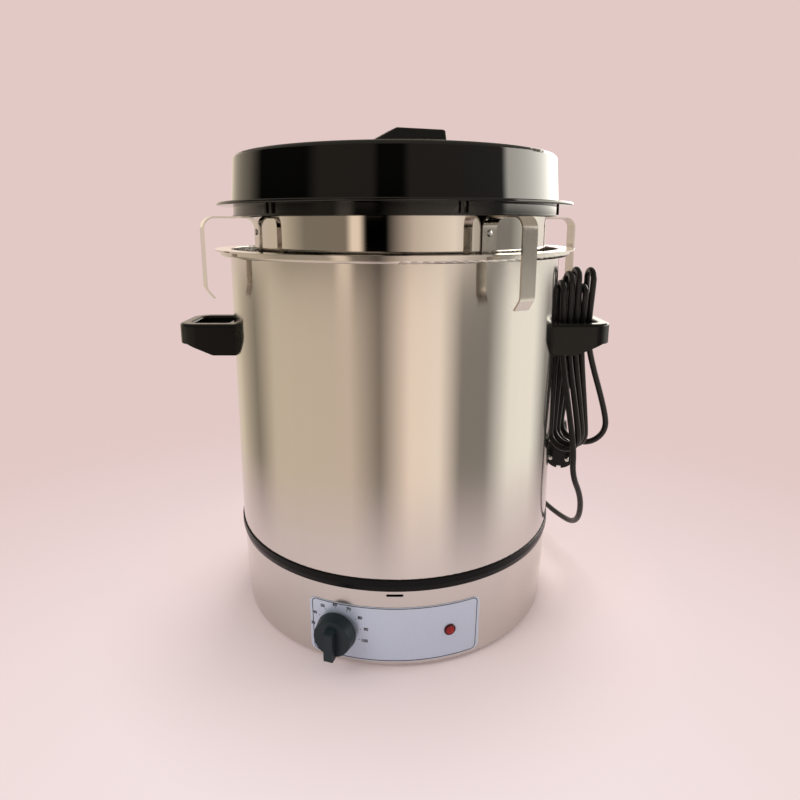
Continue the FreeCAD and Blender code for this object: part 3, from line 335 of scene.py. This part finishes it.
def moulded(name, color, rough, grain, relief, dust=0.06, shine=0.5):
    made = Finish(name, color, rough, 0.0, Specular_IOR_Level=shine)
    spot = made.place()
    skin = made.noise(spot, grain, 2.0)
    cloud = made.noise(spot, 22.0, 4.0, 0.6)
    fleck = made.noise(spot, 900.0, 1.0) > 0.76
    dusty = (fleck * 0.5 + cloud * 0.5) * dust
    made.put("Base Color", made.mix(dusty, color, plastic["dust"]))
    made.put("Roughness", rough * (0.85 + cloud * 0.3) + fleck * 0.04)
    made.bump(skin, relief, 0.00012)
    return made.material


# Label: a silver-grey printed plate with a thin dark line just inside its edge
label = {
    "color": (0.60, 0.68, 0.82), "line": (0.035, 0.035, 0.05), "rough": 0.34, "metal": 0.35,
    "radius": 0.1745, "half": (0.0826, 0.0288), "middle": 0.0372, "corner": 0.0055,
    "inset": 0.0006, "thick": 0.00048,
}


def labelFinish():
    made = Finish("labelFilm", label["color"], label["rough"], label["metal"])
    spot = made.place()
    turn, high = made.round(spot)
    along, up = (turn * label["radius"]).size(), (high - label["middle"]).size()
    corner = label["corner"]
    dx = (along - (label["half"][0] - corner)).high(0.0)
    dy = (up - (label["half"][1] - corner)).high(0.0)
    outside = (dx * dx + dy * dy) ** 0.5
    flat = ((along - label["half"][0]).high(up - label["half"][1])).low(0.0 - corner)
    edge = outside - corner + (flat + corner)
    line = (edge + label["inset"]).size() < label["thick"]
    grain = made.noise(made.vector(turn * 40.0, high * 40.0, 0.0), 3.0, 3.0)
    base = made.mix(grain, shade(label["color"], 0.95), shade(label["color"], 1.04))
    made.put("Base Color", made.mix(line, base, label["line"]))
    made.put("Roughness", label["rough"] + (grain - 0.5) * 0.08)
    made.put("Metallic", label["metal"] - line * label["metal"])
    return made.material


# Pilot lamp: a faceted red lens, darker towards its rim, with painted glints of light scattered over its
# facets
lamp = {
    "azimuth": 17.5, "height": 0.0378, "radius": 0.1745, "core": 0.0036, "edge": 0.0008, "rough": 0.18,
    "deep": (0.12, 0.003, 0.004), "glint": (0.55, 0.02, 0.022), "rim": (0.05, 0.002, 0.003),
}


def lampFinish():
    made = Finish("lampRed", lamp["deep"], lamp["rough"], 0.0, Specular_IOR_Level=0.3)
    spot = made.place()
    turn, high = made.round(spot)
    across = (turn - math.radians(lamp["azimuth"])) * lamp["radius"]
    up = high - lamp["height"]
    away = (across * across + up * up) ** 0.5
    rim = ((away - lamp["core"]) / lamp["edge"]).high(0.0).low(1.0)
    facets = made.noise(spot, 420.0, 1.0)
    # the facet noise mixes the deep red with a brighter red: painted glints of light on the facets
    lens = made.mix(facets, lamp["deep"], lamp["glint"])
    made.put("Base Color", made.mix(rim, lens, lamp["rim"]))
    made.bump(facets, 0.25, 0.0004)
    return made.material


def cordFinish():
    made = Finish("cordPvc", plastic["cord"], plastic["cordRough"], 0.0, Specular_IOR_Level=0.4)
    spot = made.place()
    wipe = made.noise(spot, 60.0, 3.0, 0.6)
    skin = made.noise(spot, 900.0, 2.0)
    made.put("Base Color", made.mix(wipe * 0.15, plastic["cord"], plastic["cordDust"]))
    made.put("Roughness", plastic["cordRough"] + (wipe - 0.5) * 0.14)
    made.bump(skin, 0.06, 0.0001)
    return made.material


# Zinc: the crystals of a galvanised sheet, each a little darker or lighter
zinc = {"dark": (0.34, 0.35, 0.36), "light": (0.47, 0.48, 0.49), "rough": (0.38, 0.16), "cells": 90.0}


def galvanised():
    made = Finish("galvanised", zinc["dark"], zinc["rough"][0], 0.8)
    spot = made.place()
    cells = made.node("TexVoronoi", None, {"Vector": spot, "Scale": zinc["cells"]}, output="Color")
    flake, _, _ = made.split(cells)
    made.put("Base Color", made.mix(flake, zinc["dark"], zinc["light"]))
    made.put("Roughness", zinc["rough"][0] + flake * zinc["rough"][1])
    return made.material


finishes = {
    "brushedSteel": spunSteel("brushedSteel", steel["body"], steel["bodyRough"]),
    "polishedSteel": spunSteel("polishedSteel", steel["insert"], steel["insertRough"],
                               lines=0.12, anisotropic=0.0, hairAndSheen=0.03),
    "hookSteel": plainSteel("hookSteel", steel["hook"], steel["hookRough"]),
    "fastenerSteel": plainSteel("fastenerSteel", (0.50, 0.50, 0.50), 0.32, 900.0, (1, 1, 1)),
    "galvanised": galvanised(),
    "aluminiumPlate": plainSteel("aluminiumPlate", (0.66, 0.66, 0.67), 0.40, 500.0, (0.05, 1.0, 1.0)),
    "elementSheath": moulded("elementSheath", (0.05, 0.045, 0.043), 0.6, grain=600.0, relief=0.12),
    "blackGloss": moulded("blackGloss", plastic["gloss"], 0.03, grain=700.0, relief=0.003, dust=0.01),
    "handleBlack": moulded("handleBlack", plastic["gloss"], 0.20, grain=1200.0, relief=0.03, dust=0.02,
                           shine=0.22),
    "blackMatt": moulded("blackMatt", plastic["matt"], 0.30, grain=1500.0, relief=0.10, dust=0.03,
                         shine=0.28),
    "knobPlastic": moulded("knobPlastic", plastic["knob"], 0.42, grain=1600.0, relief=0.22, dust=0.02,
                           shine=0.25),
    "whitePlastic": moulded("whitePlastic", plastic["white"], 0.45, grain=900.0, relief=0.1, dust=0.1),
    "blackRubber": moulded("blackRubber", plastic["ring"], 0.26, grain=500.0, relief=0.06, dust=0.02,
                           shine=0.12),
    "lampRed": lampFinish(),
    "labelFilm": labelFinish(),
    "cordPvc": cordFinish(),
    "pinBrass": plainSteel("pinBrass", (0.70, 0.69, 0.66), 0.22, 900.0, (1, 1, 1)),
}


def dress(piece, material):
    piece.data.materials.clear()
    piece.data.materials.append(material)


for piece in frame["record"]["subparts"]:
    dress(nodes[piece["node"]], finishes[piece["material_slot"]])
for side in ("handle_left", "handle_right"):
    dress(nodes[side], finishes["handleBlack"])
dress(cord, finishes["cordPvc"])
print("finishes set")


# Dial scale: numbers and dots printed on the label round the knob
dial = {
    "azimuth": -18.0, "height": 0.0384, "skin": 0.17423, "lean": 0.0371, "proud": 0.00006,
    "first": -93.3, "step": 29.2, "marks": (30, 40, 50, 60, 70, 80, 90, 100), "numbers": (0.0276, 0.0254),
    "tall": 0.0044, "bold": 0.0002, "dots": 0.0222, "dot": 0.0005, "ink": (0.012, 0.012, 0.02),
}


def onLabel(across, up):
    # a flat point beside the knob, carried onto the label's skin
    turn = math.radians(dial["azimuth"]) + across / dial["skin"]
    radius = dial["skin"] + dial["proud"] + up * dial["lean"]
    return Vector((radius * math.sin(turn), -radius * math.cos(turn), dial["height"] + up))


def makeDial():
    mesh = bmesh.new()
    for i, mark in enumerate(dial["marks"]):
        a = math.radians(dial["first"] + i * dial["step"])
        text = bpy.data.curves.new("mark", "FONT")
        text.body = str(mark)
        text.size = dial["tall"]
        text.offset = dial["bold"]
        text.align_x = "CENTER"
        text.align_y = "CENTER"
        text.resolution_u = 3
        glyphs = bpy.data.objects.new("mark", text)
        bpy.context.scene.collection.objects.link(glyphs)
        bpy.context.view_layer.update()
        flat = bpy.data.meshes.new_from_object(glyphs)
        middle = (dial["numbers"][0] * math.sin(a), dial["numbers"][1] * math.cos(a))
        for vertex in flat.vertices:
            vertex.co = onLabel(middle[0] + vertex.co.x, middle[1] + vertex.co.y)
        mesh.from_mesh(flat)
        bpy.data.objects.remove(glyphs)
        bpy.data.curves.remove(text)
        bpy.data.meshes.remove(flat)
        spot = (dial["dots"] * math.sin(a), dial["dots"] * math.cos(a))
        ring = [mesh.verts.new(onLabel(spot[0] + dial["dot"] * math.cos(t * math.pi / 6),
                                       spot[1] + dial["dot"] * math.sin(t * math.pi / 6))) for t in range(12)]
        mesh.faces.new(ring)
    data = bpy.data.meshes.new("dialScale")
    mesh.to_mesh(data)
    mesh.free()
    piece = bpy.data.objects.new("dialScale", data)
    bpy.context.scene.collection.objects.link(piece)
    ink = Finish("dialInk", dial["ink"], 0.5)
    ink.put("Base Color", ink.mix(ink.noise(ink.place(), 800.0), dial["ink"], shade(dial["ink"], 1.8)))
    dress(piece, ink.material)
    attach(piece, "vessel")


makeDial()
print("dial printed")


# Studio: a pale floor, soft lamps and a plain room for the steel and the lid to mirror
studio = {
    "litNear": (0.90, 0.765, 0.765), "far": (0.76, 0.584, 0.565), "litMiddle": (0.0, -0.35, 0.0), "fade": (0.05, 1.0),
    "radius": 14.0, "mirrored": (0.3, 0.6), "shadow": 0.85, "contact": (0.175, 0.34),
    "fill": (0.56, 0.54, 0.525), "ceiling": (0.45, 0.40, 0.33), "ceilingFrom": (0.30, 0.38),
}
# Past the mirrored stretch of floor, glossy rays see a room made up for this picture: a few tones, a tint
# on each side, and three rows of walls and windows from the floor up, in degrees from the front. Its back
# is the background. A row gives way to the next one over its reach in the height of a ray
room = {
    "tones": {"dark": 0.0, "dim": 0.3, "pale": 0.8, "light": 1.2, "window": 6.0},
    "tints": {"left": (1.0, 0.85, 0.65), "ahead": (1.0, 0.8, 0.65), "right": (1.0, 0.95, 0.85)},
    "rows": [
        {"reach": (-0.10, -0.05),
         "walls": [(-140, "pale"), (-110, "dim"), (-90, "pale"), (-30, "pale"), (-10, "dim"), (10, "light"),
                   (30, "light"), (45, "dim"), (65, "dim"), (85, "light"), (110, "light"), (130, "dim")]},
        {"reach": (0.01, 0.05),
         "walls": [(-100, "pale"), (-75, "dim"), (-40, "dim"), (-35, "light"), (-30, "light"), (-25, "dark"),
                   (-10, "dark"), (10, "pale"), (40, "light"), (70, "dim"), (90, "dim"), (125, "light")]},
        {"reach": None,
         "walls": [(-150, "light"), (-115, "pale"), (-100, "dark"), (-60, "dark"), (-50, "dim"), (-15, "dim"),
                   (-10, "dark"), (5, "dark"), (10, "dim"), (75, "dim"), (80, "window"), (140, "window")]},
    ],
}


def wallColor(azimuth, tone):
    left, ahead, right = room["tints"].values()
    side = min(1.0, abs(azimuth) / 85)
    level = room["tones"][tone]
    return tuple(level * (a + (b - a) * side) for a, b in zip(ahead, left if azimuth < 0 else right))


def wallStops(walls):
    stops = [(-180, studio["far"])] + [(azimuth, wallColor(azimuth, tone)) for azimuth, tone in walls]
    return [((azimuth + 180) / 360, color) for azimuth, color in stops + [(180, studio["far"])]]


def makeFloor():
    mesh = bmesh.new()
    bmesh.ops.create_circle(mesh, cap_ends=True, radius=studio["radius"], segments=96)
    data = bpy.data.meshes.new("studioFloor")
    mesh.to_mesh(data)
    mesh.free()
    floor = bpy.data.objects.new("studioFloor", data)
    bpy.context.scene.collection.objects.link(floor)
    paint = Finish("studioFloor", studio["far"], 0.9, Specular_IOR_Level=0.05)
    # the floor's colour is painted lighter round a point in front of the object and fades to the background
    # colour further off: a painted pool of light
    reach = paint.node("VectorMath", {"operation": "DISTANCE"}, {0: paint.place(), 1: studio["litMiddle"]},
                       output=1)
    start, end = studio["fade"]
    part = ((reach - start) / (end - start)).high(0.0).low(1.0)
    part = part * part * (3.0 - 2.0 * part)
    color = paint.mix(part, studio["litNear"], studio["far"])
    paint.put("Base Color", color)
    glow = paint.node("Emission", None, {"Color": color, "Strength": 1.0})
    inner, outer = studio["contact"]
    away = paint.node("VectorMath", {"operation": "LENGTH"}, {0: paint.place()}, output=1)
    plain = ((away - inner) / (outer - inner)).high(0.0).low(1.0)
    plain = 1.0 - (1.0 - plain) * studio["shadow"]
    rays = paint.node("LightPath")
    glossy = Value(paint, rays.socket.node.outputs["Is Glossy Ray"])
    seen = rays.high(glossy).high(Value(paint, rays.socket.node.outputs["Is Transmission Ray"]))
    both = paint.node("MixShader", None, {0: seen * plain, 1: Value(paint, paint.shader.outputs[0]), 2: glow})
    start, end = studio["mirrored"]
    beyond = ((away - start) / (end - start)).high(0.0).low(1.0) * glossy
    both = paint.node("MixShader", None, {0: beyond, 1: both, 2: paint.node("BsdfTransparent")})
    paint.tree.links.new(both.socket, paint.tree.nodes["Material Output"].inputs["Surface"])
    dress(floor, paint.material)


def makeWorld():
    world = bpy.data.worlds.new("studio")
    bpy.context.scene.world = world
    world.use_nodes = True
    sky = Tree(world.node_tree)
    turn, up = sky.round(sky.node("TexCoord", output="Generated"))
    rows = [sky.ramp(turn / (2 * math.pi) + 0.5, wallStops(row["walls"])) for row in room["rows"]]
    tone = rows[0]
    for row, upper in zip(room["rows"], rows[1:]):
        start, end = row["reach"]
        tone = sky.mix(((up - start) / (end - start)).high(0.0).low(1.0), tone, upper)
    start, end = studio["ceilingFrom"]
    tone = sky.mix(((up - start) / (end - start)).high(0.0).low(1.0), tone, studio["ceiling"])
    rays = sky.node("LightPath")
    ways = rays.socket.node.outputs
    color = sky.mix(Value(sky, ways["Is Glossy Ray"]), studio["fill"], tone)
    color = sky.mix(rays.high(Value(sky, ways["Is Transmission Ray"])), color, studio["far"])
    sky.tree.links.new(color.socket, world.node_tree.nodes["Background"].inputs["Color"])


# Soft lamps, aimed at the middle of the vessel and left out of reflections
softLamps = {
    "leftBox": {"azimuth": -55, "distance": 2.4, "height": 1.6, "size": (1.2, 1.4), "power": 22,
                "color": (1.0, 0.97, 0.94)},
    "rearBox": {"azimuth": 165, "distance": 1.3, "height": 2.0, "size": (1.2, 1.0), "power": 30,
                "color": (1.0, 0.97, 0.94)},
    "windowBox": {"azimuth": 98, "distance": 2.2, "height": 1.0, "size": (1.0, 1.6), "power": 14,
                  "color": (1.0, 1.0, 0.94)},
}
lampAim = (0, 0, 0.25)


def makeLamp(name, s):
    data = bpy.data.lights.new(name, "AREA")
    data.shape = "RECTANGLE"
    data.size, data.size_y = s["size"]
    data.energy = s["power"]
    data.color = s["color"]
    box = bpy.data.objects.new(name, data)
    bpy.context.scene.collection.objects.link(box)
    box.visible_glossy = False
    a = math.radians(s["azimuth"])
    box.location = (s["distance"] * math.sin(a), -s["distance"] * math.cos(a), s["height"])
    box.rotation_euler = (Vector(lampAim) - box.location).to_track_quat("-Z", "Y").to_euler()


makeFloor()
makeWorld()
for name, settings in softLamps.items():
    makeLamp(name, settings)
print("studio lit")

bpy.context.view_layer.update()
